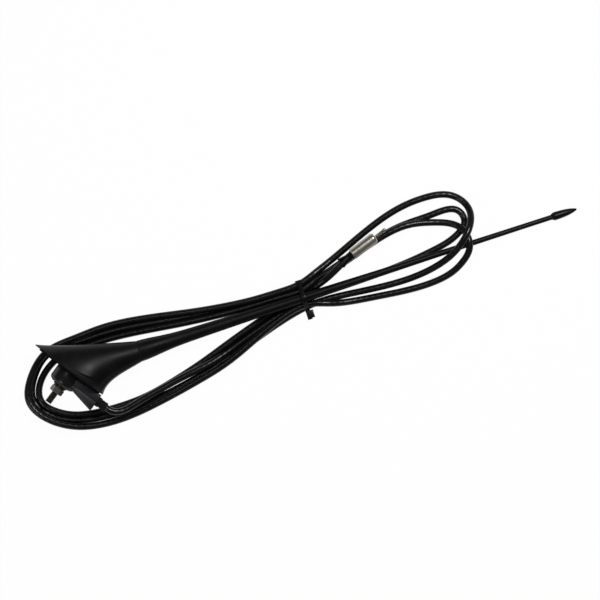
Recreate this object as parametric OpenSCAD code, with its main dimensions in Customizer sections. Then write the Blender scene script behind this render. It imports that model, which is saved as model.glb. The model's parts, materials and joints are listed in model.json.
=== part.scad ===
// Raked roof aerial for a car, lying on its side with its lead tied round it.
// All sizes are in millimetres.

/* [Mast] */
// Length of the mast from the base's neck to its tip
mast_length = 386; // [250:1:600]
// Angle between the mast and the roof, in degrees
rake = 54.4; // [45:0.2:65]
// Diameter of the mast's foot where it meets the neck
foot_d = 18; // [16.5:0.5:22]
// Diameter of the mast above its flared foot
mast_root_d = 13; // [10:0.5:14]
// Diameter of the mast just below the tip cap
mast_tip_d = 4.3; // [3.4:0.1:6]
// Distance over which the foot flares out
flare_length = 22; // [14:1:34]
// Diameter of the conductor rod inside the mast
core_d = 2.4; // [1.6:0.1:2.8]
// Length of the tip cap
cap_length = 22; // [16:1:30]
// Greatest diameter of the tip cap
cap_d = 7; // [6.6:0.2:9]

/* [Mast thread] */
// Outside diameter of the mast's threaded stud
thread_d = 5; // [4:0.5:6]
// Length of the stud that screws into the socket
thread_length = 9; // [7:0.5:11]
// Thickness of the rubber seal under the foot
seal_t = 0.8; // [0.6:0.1:1.4]

/* [Base cover] */
// Length of the foot on the roof
cover_length = 70; // [62:1:80]
// Width of the foot on the roof
cover_width = 42; // [38:1:50]
// Distance from the front lip to the stud's axis
stud_setback = 37; // [34:1:40]
// Distance from the roof to the neck, along the mast
neck_rise = 58; // [54:1:64]
// Wall thickness of the cover
cover_wall = 2; // [1.4:0.1:2.4]
// How much wider the flared foot stands than the body above it
flange_w = 3.2; // [1:0.2:3.4]

/* [Roof fixing] */
// Thickness of the roof gasket
gasket_t = 1.2; // [0.8:0.1:2]
// How far the gasket's front pad stands proud of the rest
gasket_step = 0.2; // [0.1:0.1:0.4]
// Diameter of the clamp boss under the roof
boss_d = 24; // [20:1:26]
// Height of the clamp boss
boss_h = 13.3; // [9:0.1:16]
// Chamfer round the lower edge of the boss
boss_chamfer = 3.4; // [1:0.2:4.4]
// Diameter of the mounting stud
stud_d = 5.9; // [4.8:0.1:6]
// Length of the stud below the nut
stud_free = 10; // [6:0.5:20]
// Width of the nut across its flats
nut_af = 10; // [9:0.5:11]
// Height of the nut
nut_h = 5; // [4:0.5:7]
// Diameter of the flat washer
washer_d = 12.6; // [12:0.2:16]
// Thickness of the flat washer
washer_t = 1.2; // [0.8:0.1:2]
// Diameter of the spring washer
spring_d = 10.6; // [9.6:0.2:11.6]
// Thickness of the spring washer
spring_t = 1.4; // [1:0.1:2]

/* [Cable boot] */
// Width of the boot's upper half
boot_w = 17; // [14:0.5:20]
// How far the lower half stands proud of the upper one
boot_step = 0.6; // [0.2:0.1:1]
// Distance from the stud's axis to the boot's rear end
boot_reach = 32.6; // [28:0.2:38]
// Depth of the boot's rear end
boot_h = 15.7; // [12:0.1:18]
// Length of the strain relief behind the boot
relief_length = 9; // [6:0.5:14]
// Diameter of the strain relief
relief_d = 8.6; // [7.6:0.2:10]

/* [Lead and tie] */
// Diameter of the lead
lead_d = 5.4; // [4:0.1:5.6]
// Width of the cable tie's band
tie_w = 4; // [2.5:0.1:5]
// Thickness of the cable tie's band
tie_t = 1.2; // [0.8:0.1:1.4]

/* [Plug] */
// Diameter of the plug's sleeve
plug_d = 9.6; // [8:0.1:10]
// Length of the plug's sleeve
plug_length = 24.8; // [18:0.2:30]
// Diameter of the centre pin
plug_pin_d = 2.6; // [2:0.1:3.4]
// Length of the pin in front of the sleeve
plug_pin_length = 11.8; // [8:0.2:16]
// Length of the crimp behind the sleeve
crimp_length = 12; // [8:0.5:16]
// Diameter of the crimp
crimp_d = 7.8; // [7:0.1:8.6]

/* [Hidden] */

// Clearance between pieces that are pushed or screwed together
fit_gap = 0.05;
// Clearance between flat faces that move apart
face_gap = 0.1;

// The base's own frame: x runs to the rear along the roof, z up from it, and
// the stud's axis is the line x = 0, y = 0.
front_x = -stud_setback;
rear_x = cover_length - stud_setback;
mast_x = 2;
mast_dir = [cos(rake), 0, sin(rake)];
neck_up = [-sin(rake), 0, cos(rake)];
neck_c = [mast_x, 0, 0] + neck_rise * mast_dir;
neck_front = neck_c + foot_d / 2 * neck_up;
neck_rear = neck_c - foot_d / 2 * neck_up;

// The cover's front and rear outlines and its half width are four-point curves.
// Its outline on the roof is an egg: wider behind the middle than in front of
// it. Dividing by what the swell adds keeps the stated width.
rim_t = 0.8;
lip_angle = 24;
back_angle = 41;
front_curve = [
    [front_x, 0, rim_t],
    [front_x, 0, rim_t] + 12 * [cos(lip_angle), 0, sin(lip_angle)],
    neck_front - 20 * [cos(back_angle), 0, sin(back_angle)],
    neck_front
];
rear_curve = [
    [rear_x, 0, rim_t],
    [rear_x - 4.6, 0, 12],
    neck_rear - [6.6, 0, 16],
    neck_rear
];
half_width = [cover_width / 2, cover_width / 2 - 6, foot_d / 2 + 3.4, foot_d / 2];
egg = 0.28;
egg_swell = 0.46;
ring_sides = 40;
flange_rings = 6;
body_rings = 11;

// How far a cutter reaches past the body it cuts
past = 1;

// Inside the base
cavity_top = 0.8;
lip_solid = 8;
column_r = foot_d / 2 - 0.8;
column_top = neck_rise - 15;
insulator_r = foot_d / 2 - 2.6;
insulator_foot = neck_rise - 28;
column_foot = -10;
socket_r = thread_d / 2 + 2;
socket_foot = neck_rise - 22;
thread_r = thread_d / 2;
thread_room = 3;
plate_t = 4;
plate_x = 4;
plate_long = cover_length / 2 - 12;
plate_wide = cover_width / 2 - 5.4;
stud_r = stud_d / 2;
stud_top = 5;
spigot_r = stud_r + 4.6;
wire_r = 0.7;
wire_room = 0.6;
wire_x = stud_r + 2.3;

// Heights under the roof line
boss_top = -gasket_t;
washer_top = boss_top - boss_h;
spring_top = washer_top - washer_t;
nut_top = spring_top - spring_t;
stud_end = nut_top - nut_h - stud_free;
boot_top = boss_top;
boot_axis = -7;
boot_split = boot_axis - 1.4;
boot_slope = 11.5;
lead_r = lead_d / 2;
lead_inner_x = boss_d / 2 + 4;

// The mast, measured from the neck
foot_t = seal_t + 2 * face_gap;
cap_t = mast_length - cap_length;
collar_r = thread_r + 1.2;
collar_h = 8;
taper_power = 1.8;
flare_steps = 10;
taper_steps = 14;

// How the aerial lies: on the cover's side edge and the tip cap. The table
// frame has its origin where the mast's axis crosses the roof line, x along
// the mast, z up from the table.
mast_reach = neck_rise + mast_length;
tilt = asin((cover_width / 2 - cap_d / 2) / (mast_reach - cap_length / 2));
axis_z = cover_width / 2 + 0.14;

function turned(p) =
    let (x = (p[0] - mast_x) * cos(rake) + p[2] * sin(rake))
    let (y = -(p[0] - mast_x) * sin(rake) + p[2] * cos(rake))
    [x * cos(tilt) - p[1] * sin(tilt), y, -x * sin(tilt) - p[1] * cos(tilt) + axis_z];

relief_end = [boot_reach + relief_length, 0, boot_axis];
left_x = turned([0, 0, stud_end])[0];
right_x = turned([mast_x, 0, 0] + mast_reach * mast_dir)[0];
top_y = turned([front_x, 0, 0])[1];
bottom_y = turned(relief_end)[1] - relief_d / 4;
middle = [-(left_x + right_x) / 2, -(top_y + bottom_y) / 2, 0];

// The tie's loop round the lead's seven strands and the mast: each entry is
// the centre and radius of what it holds, across and above the table.
tie_x = 203;
tie_core = [
    [11.9, 9.2, lead_r], [9, 4.1, lead_r], [-8.1, 4.1, lead_r],
    [-6.2, 9.4, lead_r], [0, 13.4, 4.2]
];
tie_gap = 0.2;

// The plug lies on two strands of the lead.
plug_at = [252.7, 21.7, 16.2];
plug_turn = 19.5;
lead_end = 3.3;
plug_r = plug_d / 2;
insulator_d = plug_d - 2.4;
bulb_d = plug_pin_d + 0.6;

// The lead's centre line over the table: seven strands through the tie, with
// three turns at each end, from the strain relief to the plug.
lead_way = [
    // From the strain relief into the lower bundle, and through the tie
    [20.6, -40.2, 20.3], [28, -43.4, 18.6], [44, -42.4, 15.6], [62, -39.4, 13.2],
    [90, -32.2, 11.2], [133, -23, 2.8], [203, -2.4, 4.1],
    // First turn at the right
    [222, -1.1, 3.2], [285, 0, 2.8], [320, 3.2, 2.8], [343.6, 7.8, 2.8], [354, 15.8, 2.8],
    [353.8, 27.6, 2.8], [343.6, 34.4, 2.8], [326, 35.4, 2.8], [298, 33, 2.8], [236, 16.5, 2.8],
    [203, 9, 4.1],
    // First turn at the left
    [160, 9.9, 2.9], [98, 15.6, 2.8], [38, 22.4, 2.8], [8, 23, 2.8], [-15.5, 21.6, 2.8],
    [-33.5, 5, 2.8], [-39, -12, 2.8], [-29.5, -28, 2.8], [-14, -38.4, 2.8], [1, -41.6, 2.8],
    [52, -44, 2.8], [135, -28.8, 2.8], [203, -8.1, 4.1],
    // Second turn at the right
    [238, -8.4, 2.8], [290, -12.2, 2.8], [322, -7.8, 9], [338, -1, 15.2], [350, 9, 18.2],
    [357, 19.5, 13], [357, 31, 6], [347, 43, 2.8], [326, 48.7, 2.8], [298, 46, 2.8],
    [262, 34, 2.8], [235, 23, 2.8], [219, 17, 7.6], [203, 11.9, 9.2],
    // Second turn at the left
    [160, 14, 7.7], [98, 21.6, 2.8], [40, 29, 3.6], [8, 26.8, 6.9], [-17.2, 24, 7.7],
    [-36, 6.5, 7.6], [-42, -12, 7.6], [-32, -30, 7.6], [-15, -42.2, 7.4], [0, -47.4, 5.4],
    [52, -46.1, 8.1], [134, -28, 8.3], [203, -6.2, 9.4],
    // Third turn at the right
    [219, -10, 9.4], [233, -13.9, 5.2], [262, -18, 2.8], [296, -21.3, 2.8], [325, -18.3, 4.8],
    [339, -11.5, 9.4], [347.5, -3, 12.9], [350, 6, 12.6], [347.5, 14, 9.8], [341, 20.5, 6.6],
    [325, 27, 4.4], [298, 31, 8.4], [236, 14.8, 8.3], [203, 6.3, 9.1],
    // Third turn at the left
    [160, 8, 8.1], [98, 11, 7], [40, 16.5, 2.8], [8, 17.4, 2.8], [-12.2, 16, 2.8],
    [-26, 4.5, 2.8], [-32.8, -9.5, 2.8], [-26.6, -22.2, 2.8], [-10.5, -33.2, 2.8],
    [21, -37.2, 2.8], [48, -38.2, 2.8], [70, -34, 2.8], [130, -16.2, 2.8], [203, 3.5, 4.1],
    // Up to the plug
    [222, 4.6, 6.6], [231.5, 9.2, 12.9], [239.4, 16.2, 16.1]
];
lead_route = concat(
    [turned([lead_inner_x, 0, boot_axis]), turned(relief_end)],
    lead_way,
    [plug_at - lead_end * [cos(plug_turn), sin(plug_turn), 0]]
);

function bezier(p, v) =
    pow(1 - v, 3) * p[0] + 3 * v * pow(1 - v, 2) * p[1]
    + 3 * v * v * (1 - v) * p[2] + pow(v, 3) * p[3];

function unit(v) = v / norm(v);

function ease(v) = v < 0 ? 0 : v > 1 ? 1 : v * v * (3 - 2 * v);

// A point of the cover: v runs from 0 at the rim to 1 at the neck, and turn
// goes round from the rear, past the side, to the front.
function cover_point(v, turn, inset, front_inset, hollow) =
    let (f = bezier(front_curve, v))
    let (r = bezier(rear_curve, v))
    let (way = (r - f) / norm(r - f))
    let (a = norm(r - f) / 2 - (inset + front_inset) / 2)
    let (c = (f + r) / 2 + way * (front_inset - inset) / 2)
    let (b = bezier(half_width, v) - inset - hollow)
    let (lean = egg * pow(max(0, 1 - v), 1.5))
    c + way * a * cos(turn) + [0, b * sin(turn) * (1 + lean * cos(turn)) / (1 + egg_swell * lean * lean), 0];

// Where the flared foot ends and the body begins: low at the front, and
// rising along the sides to the rear.
function crease(turn) = 0.03 + 0.21 * ease((cos(turn) + 0.35) / 1.35);

// Rings of the cover's outside. The first ones follow the flared foot, which
// is hollowed a little, up to the crease.
function foot_ring(k) = [for (i = [0 : ring_sides - 1])
    let (turn = 360 * i / ring_sides)
    let (v = crease(turn) * k / flange_rings)
    cover_point(v, turn, 0, 0, flange_w / 2 * sin(180 * k / flange_rings) * ease(crease(turn) / 0.2))];
function body_ring(k) = [for (i = [0 : ring_sides - 1])
    let (turn = 360 * i / ring_sides)
    let (v = crease(turn) + (1 - crease(turn)) * k / body_rings)
    cover_point(v, turn, 0, 0, 0)];
function on_roof(ring) = [for (p = ring) [p[0], p[1], 0]];
function cavity_ring(v) = [for (i = [0 : ring_sides - 1])
    cover_point(v, 360 * i / ring_sides, cover_wall, cover_wall + lip_solid * pow(1 - v, 4), flange_w / 4)];
function lowered(ring) = [for (p = ring) [p[0], p[1], -1]];

// Joins rings of equally many points into one closed solid.
module loft(rings) {
    n = len(rings[0]);
    m = len(rings);
    polyhedron(
        points = [for (ring = rings) each ring],
        faces = concat(
            [[for (i = [0 : n - 1]) i]],
            [[for (i = [n - 1 : -1 : 0]) (m - 1) * n + i]],
            [for (k = [0 : m - 2]) for (i = [0 : n - 1])
                [k * n + i, (k + 1) * n + i, k * n + (i + 1) % n]],
            [for (k = [0 : m - 2]) for (i = [0 : n - 1])
                [k * n + (i + 1) % n, (k + 1) * n + i, (k + 1) * n + (i + 1) % n]]
        )
    );
}

module tube(r_out, r_in, h) {
    difference() {
        cylinder(r = r_out, h = h, $fn = 64);
        translate([0, 0, -1])
            cylinder(r = r_in, h = h + 2, $fn = 48);
    }
}

// Places: what lies on the table, the base's own frame, and the mast's axis
module on_table() {
    translate(middle)
        children();
}

module in_base() {
    on_table()
        translate([0, 0, axis_z])
            rotate([0, tilt, 0])
                rotate([-90, 0, 0])
                    rotate([0, rake, 0])
                        translate([-mast_x, 0, 0])
                            children();
}

module along_mast(t) {
    translate([mast_x, 0, 0] + t * mast_dir)
        rotate([0, 90 - rake, 0])
            children();
}

// Along the boot's channel: the child's z axis points to the rear
module along_boot(x) {
    translate([x, 0, boot_axis])
        rotate([0, 90, 0])
            children();
}

module along_plug(t) {
    on_table()
        translate(plug_at)
            rotate([0, 0, plug_turn])
                rotate([0, 90, 0])
                    translate([0, 0, t])
                        children();
}

// The base cover: a moulded shell, lofted from its flared foot to the neck
module base_cover() {
    color("#1d1d20")
        in_base()
            difference() {
                loft(concat(
                    [on_roof(foot_ring(0))],
                    [for (k = [0 : flange_rings]) foot_ring(k)],
                    [for (k = [1 : body_rings]) body_ring(k)]
                ));
                loft(concat(
                    [lowered(cavity_ring(0))],
                    [for (k = [0 : 5]) cavity_ring(cavity_top * k / 5)]
                ));
                along_mast(insulator_foot)
                    cylinder(r = insulator_r + fit_gap, h = neck_rise, $fn = 64);
            }
}

module wire_path(r) {
    bend_t = (wire_x - mast_x) / mast_dir[0];
    bend_z = bend_t * mast_dir[2];
    along_mast(bend_t)
        cylinder(r = r, h = socket_foot - bend_t, $fn = 24);
    translate([wire_x, 0, bend_z])
        sphere(r = 1.08 * r, $fn = 24);
    translate([wire_x, 0, boot_axis])
        cylinder(r = r, h = bend_z - boot_axis, $fn = 24);
    translate([wire_x, 0, boot_axis])
        sphere(r = 1.08 * r, $fn = 24);
    along_boot(wire_x)
        cylinder(r = r, h = lead_inner_x - wire_x, $fn = 24);
}

// The casting inside: a plate on the gasket, a column for the mast's socket
// and a spigot that passes through the hole in the roof
module base_core() {
    color("#8f9194")
        in_base()
            difference() {
                union() {
                    translate([plate_x, 0, 0])
                        linear_extrude(plate_t)
                            polygon([for (i = [0 : 59])
                                [plate_long * cos(6 * i),
                                 plate_wide * sin(6 * i) * (1 + egg / 2 * cos(6 * i))]]);
                    difference() {
                        along_mast(column_foot)
                            cylinder(r = column_r, h = column_top - column_foot, $fn = 64);
                        translate([-cover_length / 2, -cover_width, -cover_length / 2])
                            cube([cover_length, 2 * cover_width, cover_length / 2]);
                    }
                    translate([0, 0, boss_top])
                        cylinder(r = spigot_r, h = plate_t - boss_top, $fn = 64);
                }
                along_mast(insulator_foot)
                    cylinder(r = insulator_r + fit_gap, h = neck_rise, $fn = 64);
                translate([0, 0, boss_top - 1])
                    cylinder(r = stud_r + fit_gap, h = stud_top - boss_top + 1, $fn = 48);
                wire_path(wire_r + wire_room);
            }
}

// Plastic bush that holds the live socket off the casting
module socket_insulator() {
    color("#d8d4c4")
        in_base()
            difference() {
                along_mast(insulator_foot)
                    cylinder(r = insulator_r, h = neck_rise - insulator_foot, $fn = 64);
                along_mast(socket_foot)
                    cylinder(r = socket_r + fit_gap, h = neck_rise, $fn = 64);
                along_mast(0)
                    cylinder(r = wire_r + fit_gap, h = neck_rise, $fn = 24);
            }
}

// Brass insert that the mast screws into
module mast_socket() {
    color("#c9a64e")
        in_base()
            difference() {
                along_mast(socket_foot)
                    cylinder(r = socket_r, h = neck_rise - socket_foot, $fn = 64);
                along_mast(neck_rise - thread_length - thread_room)
                    cylinder(r = thread_r, h = neck_rise, $fn = 48);
            }
}

module feed_wire() {
    color("#b8743a")
        in_base()
            wire_path(wire_r);
}

// The clamp boss and the boot are drawn up under the gasket's thinner part, and
// the pad in front of them seats on the roof.
module roof_gasket() {
    gasket_long = cover_length / 2 - 4;
    gasket_wide = cover_width / 2 - 2.6;
    color("#101011")
        in_base()
            translate([0, 0, -gasket_t])
                difference() {
                    translate([(front_x + rear_x) / 2 + 1, 0, 0])
                        linear_extrude(gasket_t)
                            polygon([for (i = [0 : 59])
                                [gasket_long * cos(6 * i),
                                 gasket_wide * sin(6 * i) * (1 + egg / 2 * cos(6 * i))]]);
                    translate([0, 0, -past])
                        cylinder(r = spigot_r + fit_gap, h = gasket_t + 2 * past, $fn = 64);
                    translate([-boss_d / 2 - past, -cover_width / 2, -past])
                        cube([cover_length, cover_width, past + gasket_step]);
                }
}

module clamp_boss() {
    boss_r = boss_d / 2;
    color("#242427")
        in_base()
            difference() {
                translate([0, 0, washer_top])
                    rotate_extrude($fn = 72)
                        polygon([
                            [0, 0], [boss_r - boss_chamfer, 0],
                            [boss_r - boss_chamfer / 3.4, boss_chamfer / 2.4],
                            [boss_r, boss_chamfer], [boss_r, boss_h], [0, boss_h]
                        ]);
                translate([0, 0, washer_top - 1])
                    cylinder(r = stud_r + 0.3, h = boss_h + 2, $fn = 48);
                wire_path(wire_r + wire_room);
            }
}

module flat_washer() {
    color("#9a9a96")
        in_base()
            translate([0, 0, washer_top - washer_t])
                tube(washer_d / 2, stud_r + 0.25, washer_t);
}

// Split spring washer
module spring_washer() {
    color("#6d6a66")
        in_base()
            translate([0, 0, spring_top - spring_t])
                difference() {
                    tube(spring_d / 2, stud_r + 0.15, spring_t);
                    rotate([0, 0, 30])
                        translate([0, -0.5, -1])
                            cube([spring_d, 1, spring_t + 2]);
                }
}

module mounting_nut() {
    corner_r = nut_af / 2 / cos(30);
    edge = 0.5;
    color("#c8c8c2")
        in_base()
            translate([0, 0, nut_top - nut_h])
                difference() {
                    intersection() {
                        cylinder(r = corner_r, h = nut_h, $fn = 6);
                        rotate_extrude($fn = 64)
                            polygon([
                                [0, 0], [nut_af / 2, 0], [corner_r, edge],
                                [corner_r, nut_h - edge], [nut_af / 2, nut_h], [0, nut_h]
                            ]);
                    }
                    translate([0, 0, -1])
                        cylinder(r = stud_r + fit_gap, h = nut_h + 2, $fn = 48);
                }
}

// The free end below the nut is turned to its full size, and the rest of the
// stud is a little thinner.
module mounting_stud() {
    lead_in = 0.7;
    free_end = stud_free - 0.5;
    shank_step = 0.25;
    color("#a59d86")
        in_base()
            translate([0, 0, stud_end])
                rotate_extrude($fn = 48)
                    polygon([
                        [0, 0], [stud_r - lead_in, 0], [stud_r, lead_in],
                        [stud_r, free_end], [stud_r - shank_step, free_end + shank_step],
                        [stud_r - shank_step, stud_top - stud_end], [0, stud_top - stud_end]
                    ]);
}

// Cross-section of the boot: flat on top, with rounded lower edges
module boot_section(half_w) {
    edge_r = 4;
    tall = 40;
    translate([-half_w + edge_r, 0])
        square([2 * (half_w - edge_r), tall]);
    translate([-half_w, edge_r])
        square([2 * half_w, tall - edge_r]);
    for (side = [-1, 1])
        translate([side * (half_w - edge_r), edge_r])
            circle(r = edge_r, $fn = 48);
}

// The boot between two heights: a bar that deepens to the rear, cut off square
// there, shaped to the boss at its front, and bored for the lead
module boot_form(half_w, low, high) {
    long = 2 * boot_reach;
    difference() {
        intersection() {
            translate([boot_reach, 0, boot_top - boot_h])
                rotate([0, boot_slope, 0])
                    translate([-long, 0, 0])
                        rotate([90, 0, 90])
                            linear_extrude(long + boot_h)
                                boot_section(half_w);
            translate([0, -half_w - 1, low])
                cube([boot_reach, 2 * half_w + 2, high - low]);
        }
        translate([0, 0, low - 1])
            cylinder(r = boss_d / 2 + fit_gap, h = high - low + 2, $fn = 72);
        along_boot(0)
            cylinder(r = lead_r + fit_gap, h = boot_reach + 2, $fn = 48);
    }
}

module cable_boot() {
    color("#2a2a2e")
        in_base()
            boot_form(boot_w / 2, boot_split, boot_top);
}

module boot_cover() {
    color("#303034")
        in_base()
            boot_form(boot_w / 2 + boot_step, boot_top - boot_h - 2, boot_split);
}

// Rubber grommet behind the boot, tapered and ribbed
module strain_relief() {
    r_big = relief_d / 2;
    r_end = lead_r + 0.9;
    rib = relief_length / 7;
    color("#161617")
        in_base()
            along_boot(boot_reach)
                difference() {
                    rotate_extrude($fn = 48)
                        polygon([
                            [0, 0], [r_big, 0], [r_big, 2 * rib], [r_end, 2.4 * rib],
                            [r_end, 3 * rib], [r_big - 0.5, 3.2 * rib], [r_big - 0.5, 4 * rib],
                            [r_end, 4.4 * rib], [r_end, 5 * rib], [r_end + 0.3, 5.2 * rib],
                            [r_end + 0.2, 6.6 * rib], [r_end - 0.2, 7 * rib], [0, 7 * rib]
                        ]);
                    translate([0, 0, -1])
                        cylinder(r = lead_r + fit_gap, h = relief_length + 2, $fn = 48);
                }
}

// Rubber ring between the neck and the mast's foot
module mast_seal() {
    color("#0e0e0f")
        in_base()
            along_mast(neck_rise + face_gap)
                tube(foot_d / 2 - 0.1, thread_r + 0.3, seal_t);
}

// Threaded stud moulded into the mast's foot
module mast_stud() {
    color("#b9b9b4")
        in_base()
            along_mast(neck_rise + foot_t - thread_length)
                rotate_extrude($fn = 48)
                    polygon([
                        [0, 0], [thread_r - 0.7, 0], [thread_r - fit_gap, 0.7],
                        [thread_r - fit_gap, thread_length], [collar_r, thread_length],
                        [collar_r, thread_length + collar_h], [0, thread_length + collar_h]
                    ]);
}

function taper_d(t) =
    mast_tip_d + (mast_root_d - mast_tip_d) * pow(1 - t / cap_t, taper_power)
    + (foot_d - mast_root_d) * exp(-pow(t / flare_length, 2));

// The mast's moulding: a flared foot that runs into a long taper
module mast_sheath() {
    flare_end = 2 * flare_length;
    steps = concat(
        [for (k = [0 : flare_steps - 1]) flare_end * k / flare_steps],
        [for (k = [0 : taper_steps]) flare_end + (cap_t - flare_end) * k / taper_steps]
    );
    color("#19191b")
        in_base()
            along_mast(neck_rise + foot_t)
                difference() {
                    rotate_extrude($fn = 56)
                        polygon(concat(
                            [[0, 0]],
                            [for (t = steps) [taper_d(t) / 2, t]],
                            [[0, cap_t]]
                        ));
                    translate([0, 0, -1])
                        cylinder(r = collar_r + fit_gap, h = collar_h + past + fit_gap, $fn = 48);
                    cylinder(r = core_d / 2 + fit_gap, h = mast_length, $fn = 32);
                }
}

// Conductor rod, from the stud through the mast into the cap
module mast_core() {
    color("#86888b")
        in_base()
            along_mast(neck_rise + foot_t + collar_h + fit_gap)
                cylinder(r = core_d / 2, h = cap_t + cap_length / 2 - collar_h, $fn = 32);
}

// Bullet shaped cap: a quick shoulder, then a long rounded nose
module tip_cap() {
    cap_r = cap_d / 2;
    shoulder = 2.6;
    nose = cap_length - shoulder;
    color("#1c1c1e")
        in_base()
            along_mast(neck_rise + foot_t + cap_t + fit_gap)
                difference() {
                    rotate_extrude($fn = 56)
                        polygon(concat(
                            [[0, 0], [cap_r * 0.72, 0]],
                            [for (k = [0 : 3])
                                [cap_r * (0.8 + 0.2 * sin(22.5 * k)), shoulder * (0.2 + 0.8 * k / 4)]],
                            [for (k = [0 : 10])
                                [cap_r * pow(1 - pow(k / 10.4, 2.3), 0.72), shoulder + nose * k / 10]],
                            [[0, cap_length]]
                        ));
                    translate([0, 0, -1])
                        cylinder(r = core_d / 2 + fit_gap, h = cap_length / 2 + 1, $fn = 32);
                }
}

// A cable tie: its band round the strands and the mast, its head and its tail
module tie_outline(grow) {
    hull()
        for (c = tie_core)
            translate([c[0], c[1]])
                circle(r = c[2] + grow, $fn = 32);
}

module cable_tie() {
    head_at = [14.6, 6.5];
    head = [3.6, 5];
    tail_at = [-11.6, 6.5];
    tail_long = 7.5;
    color("#161618")
        on_table()
            translate([tie_x - tie_w / 2, 0, 0])
                rotate([90, 0, 90])
                    difference() {
                        union() {
                            linear_extrude(tie_w)
                                tie_outline(tie_gap + tie_t);
                            translate([head_at[0], head_at[1], -0.8])
                                linear_extrude(tie_w + 1.6)
                                    square(head, center = true);
                            translate([tail_at[0] - tail_long, tail_at[1], 0])
                                linear_extrude(tie_w)
                                    square([tail_long + 1, tie_t]);
                        }
                        translate([0, 0, -2])
                            linear_extrude(tie_w + 4)
                                tie_outline(tie_gap);
                    }
}

// The lead: eight-sided rings swept along its route, each ring lying halfway
// between the directions of the stretches that meet there
module antenna_lead() {
    sides = 8;
    last = len(lead_route) - 1;
    way = [for (i = [0 : last - 1]) unit(lead_route[i + 1] - lead_route[i])];
    rings = [for (i = [0 : last])
        let (along = unit(way[max(i - 1, 0)] + way[min(i, last - 1)]))
        let (across = unit(cross([0, 0, 1], along)))
        let (above = cross(along, across))
        [for (k = [0 : sides - 1])
            let (turn = 360 * (k + 0.5) / sides)
            lead_route[i] + lead_r * (cos(turn) * across + sin(turn) * above)]];
    color("#1c1c1f")
        on_table()
            loft(rings);
}

module plug_sleeve() {
    lip = 1.6;
    color("#d4d2ce")
        along_plug(0)
            difference() {
                rotate_extrude($fn = 64)
                    polygon([
                        [0, 0], [plug_r - 0.3, 0], [plug_r, 0.3],
                        [plug_r, plug_length - lip], [plug_r - 0.5, plug_length - 0.5],
                        [plug_r - lip, plug_length], [0, plug_length]
                    ]);
                translate([0, 0, plug_length - 4])
                    cylinder(r = insulator_d / 2 + fit_gap, h = 5, $fn = 48);
                translate([0, 0, -1])
                    cylinder(r = plug_pin_d / 2 + 0.5, h = plug_length, $fn = 32);
            }
}

module plug_insulator() {
    color("#e6e2d4")
        along_plug(plug_length - 4)
            tube(insulator_d / 2, plug_pin_d / 2 + fit_gap, 3.6);
}

module plug_pin() {
    pin_r = plug_pin_d / 2;
    color("#c9c5bb")
        along_plug(1)
            rotate_extrude($fn = 40)
                polygon(concat(
                    [[0, 0], [pin_r, 0],
                     [pin_r, plug_length - 1 + plug_pin_length - bulb_d * 1.2]],
                    [for (k = [0 : 8])
                        [bulb_d / 2 * cos(-30 + 120 * k / 8 * 0.98),
                         plug_length - 1 + plug_pin_length - bulb_d / 2
                             + bulb_d / 2 * sin(-30 + 120 * k / 8)]],
                    [[0, plug_length - 1 + plug_pin_length]]
                ));
}

// Crimp barrel behind the sleeve, bored for the lead
module plug_crimp() {
    crimp_r = crimp_d / 2;
    color("#7d6546")
        along_plug(-crimp_length)
            difference() {
                rotate_extrude($fn = 48)
                    polygon([
                        [0, 0], [crimp_r - 0.6, 0], [crimp_r, 0.6],
                        [crimp_r, crimp_length * 0.3], [crimp_r - 0.5, crimp_length * 0.4],
                        [crimp_r - 0.5, crimp_length * 0.6], [crimp_r, crimp_length * 0.7],
                        [crimp_r, crimp_length], [0, crimp_length]
                    ]);
                translate([0, 0, -1])
                    cylinder(r = lead_r + fit_gap, h = crimp_length - 3 + 1, $fn = 48);
            }
}

base_cover();
base_core();
socket_insulator();
mast_socket();
feed_wire();
roof_gasket();
clamp_boss();
flat_washer();
spring_washer();
mounting_nut();
mounting_stud();
cable_boot();
boot_cover();
strain_relief();
mast_seal();
mast_stud();
mast_sheath();
mast_core();
tip_cap();
cable_tie();
antenna_lead();
plug_sleeve();
plug_insulator();
plug_pin();
plug_crimp();
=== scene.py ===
"""Looks of a roof aerial for a car: a tapered mast on a raked base, its lead coiled and tied."""
import json
import math

import bmesh
import bpy
from mathutils import Matrix, Vector


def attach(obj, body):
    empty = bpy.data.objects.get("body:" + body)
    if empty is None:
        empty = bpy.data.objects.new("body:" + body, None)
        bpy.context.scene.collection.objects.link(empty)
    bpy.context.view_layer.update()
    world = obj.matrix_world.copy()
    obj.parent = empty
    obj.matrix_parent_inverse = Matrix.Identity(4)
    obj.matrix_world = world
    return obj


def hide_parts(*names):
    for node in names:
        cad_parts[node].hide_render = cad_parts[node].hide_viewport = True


bl_info = {
    "name": "Car Mast Aerial",
    "version": (1, 0, 0),
    "blender": (4, 5, 0),
    "location": "3D View > Sidebar > Aerial",
    "description": "Dresses a raked roof aerial with its lead, tie and plug",
    "category": "Object",
}

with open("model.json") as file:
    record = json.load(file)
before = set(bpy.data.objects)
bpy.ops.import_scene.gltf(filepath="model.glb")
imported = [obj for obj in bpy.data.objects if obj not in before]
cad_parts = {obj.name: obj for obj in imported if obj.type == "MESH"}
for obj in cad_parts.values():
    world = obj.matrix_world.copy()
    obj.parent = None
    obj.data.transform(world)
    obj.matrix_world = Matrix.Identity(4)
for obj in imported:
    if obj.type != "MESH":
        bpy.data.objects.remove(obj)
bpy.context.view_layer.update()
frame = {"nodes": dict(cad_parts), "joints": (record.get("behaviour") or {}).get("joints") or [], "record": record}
MOUNTS = {mount["name"]: mount for mount in frame["record"]["mounts"]}
JOINTS = {joint["name"]: joint for joint in frame["joints"]}

MM = 0.001
FULL_TURN = 2 * math.pi

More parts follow.
